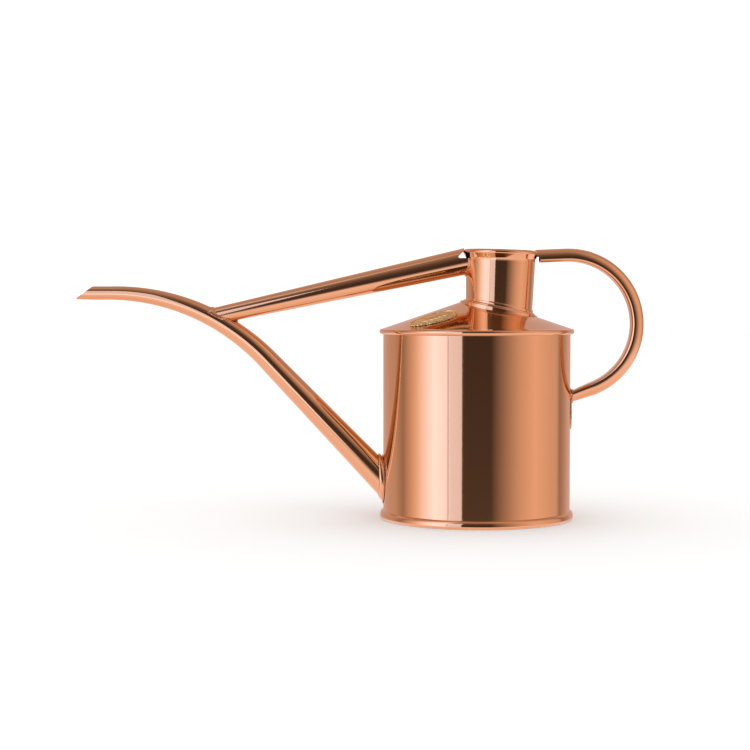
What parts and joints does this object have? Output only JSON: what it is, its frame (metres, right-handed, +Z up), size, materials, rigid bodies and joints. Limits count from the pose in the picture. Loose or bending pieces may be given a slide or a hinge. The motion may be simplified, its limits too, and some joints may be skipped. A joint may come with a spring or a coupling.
{
  "type": "watering can",
  "caption": "Small indoor watering can: cylindrical body with a conical shoulder, offset filler neck, long curved spout braced to the neck, and a looped side handle.",
  "frame": {"origin": "centre of the body's axis, on the surface the can stands on", "axes": "+Z up, +X from the body towards the handle, the spout on -X, Y across the can"},
  "size_m": [0.3436, 0.1178, 0.1635],
  "materials": {
    "copper": "polished copper sheet",
    "plated_solder": "solder plated with copper, polished",
    "tin_solder": "dull tin solder",
    "brass": "satin brass with a raised border",
    "rim_wire": "drawn wire"
  },
  "bodies": {
    "root": {"body_shell": "copper", "base_disc": "copper", "shoulder_cone": "copper", "neck_tube": "copper", "neck_collar": "copper", "spout_tube": "copper", "spout_collar": "copper", "brace_tube": "copper", "handle_tube": "copper", "handle_foot_plate": "copper", "spout_solder": "plated_solder", "brace_foot_solder": "plated_solder", "brace_neck_solder": "plated_solder", "handle_neck_solder": "plated_solder", "handle_foot_solder": "plated_solder", "foot_plate_solder": "plated_solder", "body_seam_solder": "tin_solder", "base_solder": "tin_solder", "shoulder_solder": "tin_solder", "neck_solder": "tin_solder", "badge_solder": "tin_solder", "badge_plate": "brass", "badge_border": "brass", "neck_rim_wire": "rim_wire"}
  },
  "joints": []
}
